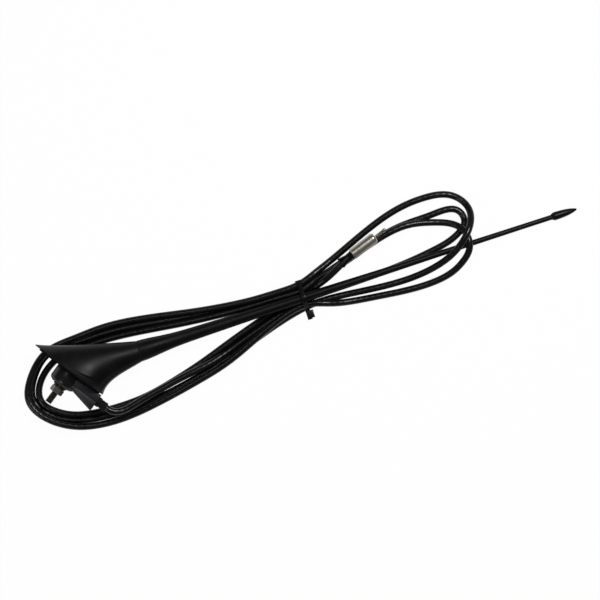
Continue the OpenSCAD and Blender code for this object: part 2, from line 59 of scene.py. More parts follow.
# How the aerial lies in the frame. The base's own axes run to the rear along
# the roof, sideways, and up from the roof; the mast's axis leans from them and
# meets the roof line at MAST_FOOT.
ROOF_UP = -Vector(MOUNTS["roof_stud"]["axis"])
MAST_WAY = Vector(JOINTS["mast_turn"]["axis"])
REAR_WAY = (MAST_WAY - MAST_WAY.dot(ROOF_UP) * ROOF_UP).normalized()
SIDE_WAY = ROOF_UP.cross(REAR_WAY)
MAST_FOOT = Vector(JOINTS["mast_turn"]["pos_m"])
PLUG_WAY = Vector(MOUNTS["radio_plug"]["axis"])
# The mounts on the stud and the plug lie this far below the roof line and this
# far in front of the plug's back
STUD_MOUNT_DEPTH = 27 * MM
PLUG_MOUNT_REACH = 11.75 * MM
# The neck's top and the seal on it, along the mast's axis
NECK_RISE = 58 * MM
SEAL_HEIGHT = 1 * MM

# Vertices nearer than this are one, in a spun shape and in a CAD copy
SPUN_GAP = 0.001 * MM
CAD_GAP = 0.002 * MM
# Edges are drawn sharp above the first angle, and rounded above the second
SHARP_DEGREES = 32
ROUNDED_DEGREES = 35

# The stud's thread, from its free end up into the casting, and the mast's, from
# its tip up to the seal's top, as radius, depth, low and high end
STUD_THREAD = (2.95 * MM, 0.5 * MM, -32.1 * MM, 5 * MM)
MAST_THREAD = (2.45 * MM, 0.4 * MM, -9 * MM, 0)
THREAD_STEPS = 36
# A thread is first made too long at both ends, by this many turns at the lower one
SPARE_TURNS = 2

# Profiles of the turned pieces in millimetres, as (radius, height): the collar
# up from the mast's seal, and the plug's pieces forwards from its back
COLLAR_PROFILE = ((0, -0.05), (3.4, -0.05), (3.7, 0.25), (3.7, 7.7), (3.4, 8), (0, 8))
SLEEVE_PROFILE = (
    (2.95, 0.5), (4.3, 0.5), (4.8, 1.0), (4.8, 22.0), (4.72, 22.7), (4.46, 23.4), (4.0, 24.0),
    (3.3, 24.4), (2.6, 24.5), (2.6, 21.5), (2.95, 21.4), (2.95, 0.5))
PIN_PROFILE = (
    (0, 20.9), (1.3, 20.9), (1.3, 32.6), (1.56, 33.2), (1.6, 34.2), (1.42, 34.9), (0.9, 35.4),
    (0, 35.6))
CRIMP_PROFILE = (
    (2.75, 0.45), (2.75, -3.6), (3.3, -3.6), (3.5, -3.2), (3.5, -1.0), (3.9, -0.2), (3.9, 0.45),
    (2.75, 0.45))

# The crimp's two claws, in millimetres and degrees: each starts just behind the
# plug's back, and flares and narrows towards its open end
CLAW_START = -1.0
CLAW_LENGTH = 11.0
CLAW_RADIUS = 3.0
CLAW_FLARE = 1.8
CLAW_FLARE_POWER = 1.6
CLAW_SPREAD = 58
CLAW_NARROWING = 20
CLAW_SHEET = 0.5
CLAW_STEPS = 8

# The lead's centre line over the table, as points measured from the table just
# below MAST_FOOT, with x along the mast, y across it and z up
LEAD_START = (0.0173, -0.0363, 0.0204)
LEAD_POINTS = (
    # From the strain relief into the lower bundle, and through the tie
    (0.0206, -0.0402, 0.0203), (0.0280, -0.0430, 0.0188), (0.0440, -0.0404, 0.0160),
    (0.0620, -0.0366, 0.0136), (0.0900, -0.0314, 0.0114), (0.1120, -0.0279, 0.0084),
    (0.1330, -0.0220, 0.0036), (0.2030, -0.0024, 0.0041),
    # First turn at the right
    (0.2220, -0.0011, 0.0032), (0.2850, 0.0006, 0.0029), (0.3170, 0.0040, 0.0029),
    (0.3340, 0.0074, 0.0029), (0.3451, 0.0122, 0.0029), (0.3509, 0.0174, 0.0029),
    (0.3520, 0.0245, 0.0029), (0.3483, 0.0307, 0.0029), (0.3410, 0.0334, 0.0029),
    (0.3250, 0.0331, 0.0029), (0.2970, 0.0320, 0.0029), (0.2360, 0.0165, 0.0029),
    (0.2030, 0.0090, 0.0041),
    # First turn at the left
    (0.1600, 0.0097, 0.0029), (0.0980, 0.0159, 0.0029), (0.0380, 0.0232, 0.0029),
    (0.0080, 0.0233, 0.0029), (-0.0155, 0.0216, 0.0029), (-0.0336, 0.0060, 0.0029),
    (-0.0400, -0.0120, 0.0029), (-0.0306, -0.0282, 0.0029), (-0.0140, -0.0381, 0.0029),
    (0.0010, -0.0420, 0.0029), (0.0240, -0.0442, 0.0029), (0.0520, -0.0434, 0.0029),
    (0.1000, -0.0354, 0.0029), (0.1350, -0.0266, 0.0029), (0.2030, -0.0081, 0.0041),
    # Second turn at the right
    (0.2380, -0.0084, 0.0028), (0.2900, -0.0122, 0.0028), (0.3220, -0.0080, 0.0090),
    (0.3380, -0.0010, 0.0152), (0.3500, 0.0090, 0.0182), (0.3570, 0.0195, 0.0130),
    (0.3576, 0.0314, 0.0060), (0.3478, 0.0437, 0.0029), (0.3260, 0.0487, 0.0028),
    (0.2980, 0.0460, 0.0028), (0.2620, 0.0340, 0.0028), (0.2350, 0.0230, 0.0028),
    (0.2190, 0.0170, 0.0076), (0.2030, 0.0119, 0.0092),
    # Second turn at the left
    (0.1820, 0.0110, 0.0102), (0.1600, 0.0116, 0.0096), (0.1200, 0.0162, 0.0070),
    (0.0980, 0.0200, 0.0058), (0.0400, 0.0284, 0.0042), (0.0080, 0.0271, 0.0070),
    (-0.0166, 0.0233, 0.0079), (-0.0358, 0.0070, 0.0078), (-0.0434, -0.0120, 0.0078),
    (-0.0330, -0.0306, 0.0078), (-0.0150, -0.0427, 0.0074), (0.0000, -0.0475, 0.0060),
    (0.0220, -0.0497, 0.0060), (0.0520, -0.0473, 0.0082), (0.1000, -0.0384, 0.0086),
    (0.1340, -0.0288, 0.0085), (0.2030, -0.0062, 0.0094),
    # Third turn at the right
    (0.2190, -0.0100, 0.0094), (0.2330, -0.0139, 0.0052), (0.2620, -0.0180, 0.0028),
    (0.2960, -0.0213, 0.0028), (0.3260, -0.0189, 0.0048), (0.3400, -0.0122, 0.0094),
    (0.3484, -0.0034, 0.0129), (0.3500, 0.0060, 0.0126), (0.3475, 0.0140, 0.0098),
    (0.3410, 0.0205, 0.0066), (0.3250, 0.0270, 0.0056), (0.2980, 0.0310, 0.0084),
    (0.2360, 0.0154, 0.0083), (0.2170, 0.0112, 0.0080), (0.2030, 0.0063, 0.0091),
    # Third turn at the left
    (0.1900, 0.0062, 0.0083), (0.1600, 0.0068, 0.0073), (0.0980, 0.0112, 0.0068),
    (0.0400, 0.0176, 0.0029), (0.0080, 0.0177, 0.0029), (-0.0070, 0.0162, 0.0029),
    (-0.0224, 0.0082, 0.0029), (-0.0316, -0.0024, 0.0029), (-0.0342, -0.0106, 0.0029),
    (-0.0330, -0.0172, 0.0029), (-0.0274, -0.0242, 0.0029), (-0.0132, -0.0331, 0.0029),
    (0.0000, -0.0368, 0.0029), (0.0160, -0.0386, 0.0029), (0.0460, -0.0384, 0.0029),
    (0.0700, -0.0344, 0.0029), (0.1040, -0.0256, 0.0029), (0.1300, -0.0171, 0.0029),
    (0.2030, 0.0035, 0.0041),
    # Up to the plug
    (0.2130, 0.0052, 0.0064), (0.2220, 0.0079, 0.0118), (0.2300, 0.0110, 0.0144),
    (0.2380, 0.0149, 0.0159),
)
# Its last point lies in the crimp, this far behind the plug's back
LEAD_LAST_STEP = 3.3 * MM
LEAD_STEPS = 12
LEAD_SIDES = 20
LEAD_LIFT = 0.05 * MM
SPAN_POWER = 0.75

# The tie, in the same axes: the CAD tie is cut off across y at TIE_TRIM, just past
# the farthest strand there, and its head is a block beyond the farthest one at -y
TIE_TRIM = 15.4 * MM
TIE_HEAD_AT = (0.2044, -0.0149, 0.0066)
TIE_HEAD_SIZE = (6.0, 6.8, 4.4)

# The photograph: straight down from far above, with the mast's tip raised
# 18 degrees to the right. Its middle is given in the lead's axes.
PICTURE_WIDTH = 504 * MM
PICTURE_MIDDLE = (0.1996, -0.00085, 0.01)
PICTURE_ROLL = math.radians(18)
LENS_MM = 200
SENSOR_MM = 36

# The table is a white sheet. This share of what the camera sees of it is an even
# white, and the rest is paper of this tone, which takes the light and the shadow.
TABLE_SIZE = 6.0
SHEET_OWN_WHITE = 0.97
SHEET_TONE = 0.92
# The light: a weak sky, and softboxes as name, place and side in metres, and power
SKY_STRENGTH = 0.16
SOFTBOXES = (
    ("key", (0.58, 0.42, 1.25), 0.3, 13.0),
    ("side", (-0.95, -0.25, 0.75), 0.3, 2.5),
    ("top", (-0.2, 0.42, 1.2), 0.2, 1.0))


def axes_at(origin, x_way, y_way, z_way):
    """The matrix that takes a shape's own axes to these directions, at origin."""
    turn = Matrix((x_way, y_way, z_way)).transposed().to_4x4()
    return Matrix.Translation(origin) @ turn


def axes_along(origin, z_way, side):
    """Like axes_at, with z along z_way and y as near to side as it can be."""
    x_way = side.cross(z_way).normalized()
    return axes_at(origin, x_way, z_way.cross(x_way), z_way)


STUD_AT_ROOF = Vector(MOUNTS["roof_stud"]["pos_m"]) + STUD_MOUNT_DEPTH * ROOF_UP
IN_BASE = axes_at(STUD_AT_ROOF, REAR_WAY, SIDE_WAY, ROOF_UP)
SEAL_TOP = MAST_FOOT + (NECK_RISE + SEAL_HEIGHT) * MAST_WAY
ON_SEAL = axes_along(SEAL_TOP, MAST_WAY, SIDE_WAY)
PLUG_BACK = Vector(MOUNTS["radio_plug"]["pos_m"]) - PLUG_MOUNT_REACH * PLUG_WAY
ON_PLUG = axes_along(PLUG_BACK, PLUG_WAY, Vector((0, 0, 1)))
ON_TABLE = Matrix.Translation((MAST_FOOT.x, MAST_FOOT.y, 0))


def linear(hex_colour):
    """A colour written as six sRGB hex digits, as linear red, green and blue."""
    parts = [int(hex_colour[k:k + 2], 16) / 255 for k in (1, 3, 5)]
    return [c / 12.92 if c <= 0.04045 else ((c + 0.055) / 1.055) ** 2.4 for c in parts]


def colour_property(name, description, hex_colour):
    """A colour that the panel shows, with its default as written."""
    return bpy.props.FloatVectorProperty(
        name=name, description=description, subtype="COLOR", size=3, min=0, max=1,
        default=linear(hex_colour))


def length_property(name, description, size_mm):
    """A length that the panel shows, with its default in millimetres."""
    return bpy.props.FloatProperty(
        name=name, description=description, subtype="DISTANCE", unit="LENGTH",
        min=0, default=size_mm * MM)


class AerialSizes(bpy.types.PropertyGroup):
    """Sizes of the lead and the threads"""
    lead_diameter: length_property("Lead", "Diameter of the lead's jacket", 5.8)
    braid_pitch: length_property(
        "Braid pitch", "Length of one turn of the braid under the jacket", 5.2)
    stud_pitch: length_property("Stud thread", "Pitch of the thread on the mounting stud", 1.0)
    mast_pitch: length_property("Mast thread", "Pitch of the thread that holds the mast", 0.8)


class AerialColours(bpy.types.PropertyGroup):
    """Colours of the pieces"""
    cover: colour_property("Cover", "Moulded plastic of the base cover", "#0a0a0b")
    mast: colour_property("Mast", "Moulded plastic of the mast", "#08080a")
    lead: colour_property("Lead", "Jacket of the lead", "#09090b")
    boot: colour_property("Boot", "Glass-filled nylon of the cable boot", "#14151a")
    boss: colour_property("Boss", "Moulded plastic of the clamp boss", "#0c0c0e")
    rubber: colour_property("Rubber", "Gasket, seal and strain relief", "#090909")
    tie: colour_property("Tie", "Nylon of the cable tie", "#08080a")
    steel: colour_property("Steel", "Zinc plated nut, studs and rod", "#7a7974")
    dark_steel: colour_property("Dark steel", "Phosphated steel of the washers", "#3b3b3a")
    patina: colour_property("Patina", "Aged plating, yellowed, in blotches", "#423a28")
    nickel: colour_property("Nickel", "Satin nickel of the plug's sleeve", "#b0aca3")
    # The pin's colour is the sleeve's nickel made darker: painted shade for the pin's dark flanks
    pin: colour_property("Pin", "Nickel of the plug's pin, darkened as painted shade", "#a39e94")
    crimp: colour_property("Crimp", "Browned brass of the plug's crimp", "#241c14")
    nylon: colour_property("Nylon", "Natural nylon of the inner bushes", "#d9d3c0")
    casting: colour_property("Casting", "Zinc alloy of the casting inside", "#8f9196")
    brass: colour_property("Brass", "Turned brass of the mast's socket", "#c9a24e")
    copper: colour_property("Copper", "Bare copper of the wire inside", "#b8703c")


def add_node(tree, kind, inputs=None, **settings):
    """One node with its settings, its sockets' values and its links."""
    node = tree.nodes.new(kind)
    for name, value in settings.items():
        setattr(node, name, value)
    for key, value in (inputs or {}).items():
        if isinstance(value, bpy.types.NodeSocket):
            tree.links.new(value, node.inputs[key])
        else:
            node.inputs[key].default_value = value
    return node


def start_material(name):
    """A new, empty material and its tree."""
    made = bpy.data.materials.new(name)
    made.use_nodes = True
    made.node_tree.nodes.clear()
    return made, made.node_tree


def end_material(made, tree, shader):
    """The material with this shader as its surface."""
    add_node(tree, "ShaderNodeOutputMaterial", {"Surface": shader.outputs[0]})
    return made


def finish_material(made, tree, sockets):
    """The material with one Principled shader, which has these sockets set or linked."""
    return end_material(made, tree, add_node(tree, "ShaderNodeBsdfPrincipled", sockets))


def rgba(colour, scale=1.0):
    """A colour for a socket, darker or lighter by scale."""
    return (colour[0] * scale, colour[1] * scale, colour[2] * scale, 1.0)


def blotches(tree, size_mm, detail, roughness=0.5):
    """A noise on the object's own axes, with blotches of about this size."""
    place = add_node(tree, "ShaderNodeTexCoord")
    noise = add_node(tree, "ShaderNodeTexNoise", {
        "Vector": place.outputs["Object"], "Scale": 1 / (size_mm * MM), "Detail": detail,
        "Roughness": roughness})
    return noise.outputs[0]


def spread(tree, value, low, high, new_low=0.0, new_high=1.0):
    """The value, with the range from low to high taken to a new one."""
    ranged = add_node(tree, "ShaderNodeMapRange", {
        "Value": value, "From Min": low, "From Max": high, "To Min": new_low, "To Max": new_high})
    return ranged.outputs[0]


def blend(tree, amount, first, second):
    """A colour that goes from the first to the second with amount."""
    mixed = add_node(
        tree, "ShaderNodeMix", {0: amount, 6: first, 7: second}, data_type="RGBA")
    return mixed.outputs[2]


def relief(tree, height, strength, depth_mm):
    """The height as a bump of this depth."""
    bump = add_node(tree, "ShaderNodeBump", {
        "Height": height, "Strength": strength, "Distance": depth_mm * MM})
    return bump.outputs[0]


def moulded_plastic(name, colour, grain_mm, roughness, gloss):
    """ABS, PBT or nylon moulded in a spark-eroded tool: a fine even grain that spreads the
    highlight, and a few smoother patches where it has been handled. The grain is drawn coarser
    than the real 0.1 mm one, so that it shows."""
    made, tree = start_material(name)
    grain = blotches(tree, grain_mm, 3.0, 0.6)
    handled = blotches(tree, 14, 4.0)
    tone = spread(tree, handled, 0.35, 0.65)
    return finish_material(made, tree, {
        "Base Color": blend(tree, tone, rgba(colour, 0.82), rgba(colour, 1.25)),
        "Roughness": spread(tree, handled, 0.3, 0.7, roughness - 0.06, roughness + 0.08),
        "Normal": relief(tree, grain, 0.35, 0.05),
        "IOR": 1.5, "Specular IOR Level": gloss})


def extruded_pvc(name, colour, braid_pitch):
    """PVC jacket extruded over a braided screen: satin, with the braid's turns showing as faint
    slanting ridges that break the highlight along the lead."""
    made, tree = start_material(name)
    run = add_node(tree, "ShaderNodeAttribute", attribute_name="run")
    around = add_node(tree, "ShaderNodeAttribute", attribute_name="around")
    turns = add_node(tree, "ShaderNodeMath", {
        0: run.outputs["Fac"], 1: FULL_TURN / braid_pitch}, operation="MULTIPLY")
    slant = add_node(tree, "ShaderNodeMath", {
        0: around.outputs["Fac"], 1: turns.outputs[0]}, operation="ADD")
    ridge = add_node(tree, "ShaderNodeMath", {0: slant.outputs[0]}, operation="SINE")
    scuffs = blotches(tree, 9, 5.0)
    return finish_material(made, tree, {
        "Base Color": blend(tree, scuffs, rgba(colour, 0.8), rgba(colour, 1.3)),
        "Roughness": spread(tree, scuffs, 0.3, 0.7, 0.22, 0.36),
        "Normal": relief(tree, ridge.outputs[0], 0.6, 0.06),
        "IOR": 1.5, "Specular IOR Level": 0.27})


def glass_filled_nylon(name, colour):
    """Nylon with short glass fibre: a cool dark grey, satin, with faint paler flecks of fibre."""
    made, tree = start_material(name)
    flecks = blotches(tree, 1.6, 6.0, 0.7)
    return finish_material(made, tree, {
        "Base Color": blend(tree, flecks, rgba(colour, 0.75), rgba(colour, 1.35)),
        "Roughness": 0.42, "Normal": relief(tree, flecks, 0.25, 0.05),
        "IOR": 1.53, "Specular IOR Level": 0.3})


def moulded_rubber(name, colour):
    """EPDM rubber: dull black with a dusty bloom in patches."""
    made, tree = start_material(name)
    bloom = blotches(tree, 5, 6.0, 0.65)
    return finish_material(made, tree, {
        "Base Color": blend(tree, bloom, rgba(colour, 0.8), rgba(colour, 1.8)),
        "Roughness": 0.75, "Normal": relief(tree, bloom, 0.2, 0.08),
        "IOR": 1.5, "Specular IOR Level": 0.2})


def aged_metal(name, colour, stain, roughness, stained):
    """Metal with a thin finish, such as zinc plating, phosphate or browning: its own colour,
    dulled and stained in blotches where the finish has aged."""
    made, tree = start_material(name)
    blotch = blotches(tree, 3.2, 6.0, 0.7)
    amount = spread(tree, blotch, 0.66 - stained, 0.8 - stained)
    return finish_material(made, tree, {
        "Base Color": blend(tree, amount, rgba(colour), rgba(stain)), "Metallic": 1.0,
        "Roughness": spread(tree, amount, 0.0, 1.0, roughness, roughness + 0.25),
        "Normal": relief(tree, blotch, 0.15, 0.03)})


def turned_metal(name, colour, roughness, ring_mm):
    """Turned metal: faint rings that lie across the plug's axis and soften the highlight along it,
    and a patchy tarnish. The inner pieces have their rings across the same axis."""
    made, tree = start_material(name)
    place = add_node(tree, "ShaderNodeTexCoord")
    along = add_node(tree, "ShaderNodeVectorMath", {
        0: place.outputs["Object"], 1: tuple(PLUG_WAY)}, operation="DOT_PRODUCT")
    rings = add_node(tree, "ShaderNodeTexNoise", {
        "W": along.outputs["Value"], "Scale": 1 / (ring_mm * MM), "Detail": 2.0},
        noise_dimensions="1D")
    tarnish = blotches(tree, 6, 4.0)
    return finish_material(made, tree, {
        "Base Color": blend(tree, tarnish, rgba(colour, 0.78), rgba(colour, 1.1)),
        "Metallic": 1.0, "Roughness": roughness,
        "Normal": relief(tree, rings.outputs[0], 0.06, 0.02)})


def natural_nylon(name, colour):
    """Unpigmented nylon: milky, a little cloudy and satin."""
    made, tree = start_material(name)
    cloud = blotches(tree, 4, 3.0)
    return finish_material(made, tree, {
        "Base Color": blend(tree, cloud, rgba(colour, 0.92), rgba(colour, 1.05)),
        "Roughness": 0.4, "IOR": 1.53})


def cast_zinc(name, colour):
    """Zinc alloy as it comes from the die: dull grey metal with a fine mottle."""
    made, tree = start_material(name)
    mottle = blotches(tree, 1.2, 5.0)
    return finish_material(made, tree, {
        "Base Color": blend(tree, mottle, rgba(colour, 0.75), rgba(colour, 1.15)),
        "Metallic": 1.0, "Roughness": 0.5, "Normal": relief(tree, mottle, 0.3, 0.08)})


def shade(bm, sharp_degrees):
    """Smooth shading, with an edge kept sharp where its faces meet at more than this angle."""
    limit = math.radians(sharp_degrees)
    for edge in bm.edges:
        edge.smooth = len(edge.link_faces) == 2 and edge.calc_face_angle(0) < limit
    for face in bm.faces:
        face.smooth = True


def place_piece(bm, name, body, material, stands_for, sharp_degrees=SHARP_DEGREES):
    """Makes the bmesh a piece of the object, on its body and with its finish."""
    shade(bm, sharp_degrees)
    mesh = bpy.data.meshes.new(name)
    bm.to_mesh(mesh)
    bm.free()
    mesh.materials.append(material)
    piece = bpy.data.objects.new(name, mesh)
    bpy.context.scene.collection.objects.link(piece)
    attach(piece, body)
    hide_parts(*stands_for)
    return piece


def copy_of(node):
    """The CAD node's shape with its loose triangles joined."""
    bm = bmesh.new()
    bm.from_mesh(frame["nodes"][node].data)
    bmesh.ops.remove_doubles(bm, verts=bm.verts, dist=CAD_GAP)
    return bm


def ease_edges(bm, width_mm):
    """Rounds the sharper edges, as a mould or a tumbler leaves them."""
    bmesh.ops.dissolve_limit(
        bm, angle_limit=math.radians(1), verts=bm.verts, edges=bm.edges, delimit=set())
    limit = math.radians(ROUNDED_DEGREES)
    edges = [e for e in bm.edges if len(e.link_faces) == 2 and e.calc_face_angle(0) > limit]
    bmesh.ops.bevel(
        bm, geom=edges, affect="EDGES", offset=width_mm * MM, offset_type="OFFSET", segments=2,
        profile=0.5, material=-1, clamp_overlap=True)


def dress(node, body, material, sharp_degrees=SHARP_DEGREES, eased_mm=0):
    """A smooth copy of a CAD node, in its place."""
    bm = copy_of(node)
    if eased_mm:
        ease_edges(bm, eased_mm)
    return place_piece(bm, f"{node}_dressed", body, material, (node,), sharp_degrees)


def face_outwards(bm):
    """Turns the faces of a closed shape outwards, with its volume as the proof."""
    bmesh.ops.recalc_face_normals(bm, faces=bm.faces)
    if bm.calc_volume(signed=True) < 0:
        bmesh.ops.reverse_faces(bm, faces=bm.faces)


def spin_up(bm, steps, rise=0.0):
    """Spins everything in the bmesh once round z, climbing by rise."""
    bmesh.ops.spin(
        bm, geom=bm.verts[:] + bm.edges[:], cent=(0, 0, 0), axis=(0, 0, 1),
        dvec=(0, 0, rise / steps), angle=FULL_TURN, steps=steps, use_merge=rise == 0)
    bmesh.ops.remove_doubles(bm, verts=bm.verts, dist=SPUN_GAP)


def turned(profile_mm, place, steps):
    """A turned piece: a profile of (radius, height) spun round its axis."""
    bm = bmesh.new()
    line = [bm.verts.new((radius * MM, 0, height * MM)) for radius, height in profile_mm]
    for pair in zip(line, line[1:]):
        bm.edges.new(pair)
    spin_up(bm, steps)
    face_outwards(bm)
    bmesh.ops.transform(bm, matrix=place, verts=bm.verts)
    return bm


def eased_block(size_mm, place, eased_mm):
    """A block with rounded edges."""
    bm = bmesh.new()
    bmesh.ops.create_cube(bm, size=MM)
    bmesh.ops.scale(bm, vec=size_mm, verts=bm.verts)
    bmesh.ops.bevel(
        bm, geom=bm.edges[:], affect="EDGES", offset=eased_mm * MM, offset_type="OFFSET",
        segments=3, profile=0.5, material=-1)
    bmesh.ops.transform(bm, matrix=place, verts=bm.verts)
    return bm


def joined(*parts):
    """One bmesh from several, each kept as it is."""
    bm = bmesh.new()
    for part in parts:
        mesh = bpy.data.meshes.new("part")
        part.to_mesh(mesh)
        part.free()
        bm.from_mesh(mesh)
        bpy.data.meshes.remove(mesh)
    return bm


def cut_off(bm, point, way):
    """Cuts off what lies beyond the point this way, and closes the cut."""
    cut = bmesh.ops.bisect_plane(
        bm, geom=bm.verts[:] + bm.edges[:] + bm.faces[:], plane_co=point, plane_no=way,
        clear_outer=True)
    rim = [e for e in cut["geom_cut"] if isinstance(e, bmesh.types.BMEdge)]
    bmesh.ops.edgeloop_fill(bm, edges=rim)


def screw(thread, pitch, place):
    """A threaded rod: a zigzag spun up by one pitch a turn, and cut off square at both ends."""
    radius, depth, low, high = thread
    bm = bmesh.new()
    half_turns = 2 * int((high - low) / pitch + SPARE_TURNS + 1)
    crests = [
        bm.verts.new((radius - depth * (k % 2), 0, low + (k / 2 - SPARE_TURNS) * pitch))
        for k in range(half_turns + 1)]
    for pair in zip(crests, crests[1:]):
        bm.edges.new(pair)
    spin_up(bm, THREAD_STEPS, pitch)
    cut_off(bm, (0, 0, low), (0, 0, -1))
    cut_off(bm, (0, 0, high), (0, 0, 1))
    face_outwards(bm)
    bmesh.ops.transform(bm, matrix=place, verts=bm.verts)
    return bm


def smooth_line(points, steps):
    """A natural cubic curve through the points, with steps stretches between each two. Its spans
    grow less than the distances do, so that it doesn't swing out between points set unevenly."""
    count = len(points)
    span = [(b - a).length ** SPAN_POWER for a, b in zip(points, points[1:])]
    upper = [0.0] * count
    bend = [Vector((0, 0, 0)) for _ in points]
    for k in range(1, count - 1):
        ahead = (points[k + 1] - points[k]) / span[k]
        behind = (points[k] - points[k - 1]) / span[k - 1]
        pivot = 2 * (span[k - 1] + span[k]) - span[k - 1] * upper[k - 1]
        upper[k] = span[k] / pivot
        bend[k] = (6 * (ahead - behind) - span[k - 1] * bend[k - 1]) / pivot
    for k in range(count - 2, 0, -1):
        bend[k] = bend[k] - upper[k] * bend[k + 1]
    line = []
    for k in range(count - 1):
        for step in range(steps):
            t = step / steps
            s = 1 - t
            lift = (s ** 3 - s) * bend[k] + (t ** 3 - t) * bend[k + 1]
            line.append(s * points[k] + t * points[k + 1] + span[k] ** 2 / 6 * lift)
    return [*line, points[-1]]


def swept_tube(line, radius, sides):
    """A closed tube along the line, with the distance run and the angle round it on each point."""
    bm = bmesh.new()
    run = bm.verts.layers.float.new("run")
    around = bm.verts.layers.float.new("around")
    way = (line[1] - line[0]).normalized()
    across = way.cross(Vector((0, 0, 1))).normalized()
    rings = []
    gone = 0.0
    for k, point in enumerate(line):
        nearer = line[max(k - 1, 0)]
        farther = line[min(k + 1, len(line) - 1)]
        new_way = (farther - nearer).normalized()
        across.rotate(way.rotation_difference(new_way))
        way = new_way
        above = way.cross(across)
        gone += (point - nearer).length
        ring = []
        for side in range(sides):
            turn = FULL_TURN * side / sides
            outwards = math.cos(turn) * across + math.sin(turn) * above
            vert = bm.verts.new(point + radius * outwards)
            vert[run] = gone
            vert[around] = turn
            ring.append(vert)
        rings.append(ring)
    for ring, after in zip(rings, rings[1:]):
        for side in range(sides):
            far = (side + 1) % sides
            bm.faces.new((ring[side], ring[far], after[far], after[side]))
    bm.faces.new(rings[0])
    bm.faces.new(rings[-1])
    face_outwards(bm)
    return bm


def crimp_claw(way):
    """One of the two sheet claws that hold the lead behind the plug: a strip curved round the
    lead on this side (-1 or 1), flaring outwards at its open end."""
    bm = bmesh.new()
    rows = []
    for step in range(CLAW_STEPS + 1):
        back = step / CLAW_STEPS
        height = CLAW_START - CLAW_LENGTH * back
        radius = CLAW_RADIUS + CLAW_FLARE * back ** CLAW_FLARE_POWER
        spread_angle = math.radians(CLAW_SPREAD - CLAW_NARROWING * back)
        row = []
        for k in range(CLAW_STEPS + 1):
            turn = (2 * k / CLAW_STEPS - 1) * spread_angle
            row.append(bm.verts.new((
                way * radius * math.cos(turn) * MM, radius * math.sin(turn) * MM, height * MM)))
        rows.append(row)
    for row, after in zip(rows, rows[1:]):
        for k in range(CLAW_STEPS):
            bm.faces.new((row[k], row[k + 1], after[k + 1], after[k]))
    bmesh.ops.recalc_face_normals(bm, faces=bm.faces)
    bmesh.ops.solidify(bm, geom=bm.faces[:], thickness=CLAW_SHEET * MM)
    face_outwards(bm)
    bmesh.ops.transform(bm, matrix=ON_PLUG, verts=bm.verts)
    return bm


class AERIAL_OT_base(bpy.types.Operator):
    """Dress the base cover and its gasket"""
    bl_idname = "aerial.base"
    bl_label = "Base Cover"

    def execute(self, context):
        colours = context.scene.aerial_colours
        cover = moulded_plastic(
            "ABS moulded, cover", colours.cover, grain_mm=0.45, roughness=0.38, gloss=0.14)
        rubber = moulded_rubber("EPDM rubber, gasket", colours.rubber)
        dress("base_cover", "base", cover, sharp_degrees=27)
        dress("roof_gasket", "base", rubber)
        return {"FINISHED"}


class AERIAL_OT_roof_fixing(bpy.types.Operator):
    """Dress the clamp boss, the washers and the nut, and cut the stud's thread"""
    bl_idname = "aerial.roof_fixing"
    bl_label = "Roof Fixing"

    def execute(self, context):
        colours = context.scene.aerial_colours
        sizes = context.scene.aerial_sizes
        boss = moulded_plastic(
            "ABS moulded, boss", colours.boss, grain_mm=0.5, roughness=0.3, gloss=0.3)
        bright = aged_metal(
            "Zinc plated steel, nut", colours.steel, colours.patina, roughness=0.24, stained=0.1)
        dull = aged_metal(
            "Phosphated steel, washers", colours.dark_steel, colours.patina,
            roughness=0.4, stained=0.02)
        yellowed = aged_metal(
            "Zinc plated steel, yellowed stud", colours.steel, colours.patina,
            roughness=0.3, stained=0.26)
        dress("clamp_boss", "base", boss, sharp_degrees=40, eased_mm=1.1)
        dress("flat_washer", "base", dull, eased_mm=0.15)
        dress("spring_washer", "base", dull)
        dress("mounting_nut", "base", bright)
        stud = screw(STUD_THREAD, sizes.stud_pitch, IN_BASE)
        place_piece(stud, "threaded_stud", "base", yellowed, ("mounting_stud",))
        return {"FINISHED"}


class AERIAL_OT_boot(bpy.types.Operator):
    """Dress the cable boot, its cover and the strain relief"""
    bl_idname = "aerial.boot"
    bl_label = "Cable Boot"

    def execute(self, context):
        colours = context.scene.aerial_colours
        nylon = glass_filled_nylon("Glass-filled nylon, boot", colours.boot)
        rubber = moulded_rubber("EPDM rubber, strain relief", colours.rubber)
        dress("cable_boot", "base", nylon, eased_mm=0.35)
        dress("boot_cover", "base", nylon, eased_mm=0.35)
        dress("strain_relief", "base", rubber)
        return {"FINISHED"}


class AERIAL_OT_mast(bpy.types.Operator):
    """Dress the mast, its tip cap, its rod and its seal, and cut its thread"""
    bl_idname = "aerial.mast"
    bl_label = "Mast"

    def execute(self, context):
        colours = context.scene.aerial_colours
        sizes = context.scene.aerial_sizes
        skin = moulded_plastic(
            "PBT moulded, mast", colours.mast, grain_mm=0.6, roughness=0.38, gloss=0.14)
        rubber = moulded_rubber("EPDM rubber, mast seal", colours.rubber)
        steel = aged_metal(
            "Zinc plated steel, mast stud", colours.steel, colours.patina,
            roughness=0.28, stained=0.0)
        dress("mast_sheath", "mast", skin)
        dress("tip_cap", "mast", skin)
        dress("mast_core", "mast", steel)
        dress("mast_seal", "seal", rubber)
        thread = screw(MAST_THREAD, sizes.mast_pitch, ON_SEAL)
        collar = turned(COLLAR_PROFILE, ON_SEAL, steps=40)
        place_piece(
            joined(thread, collar), "mast_stud_threaded", "mast", steel,
            ("mast_stud",))
        return {"FINISHED"}


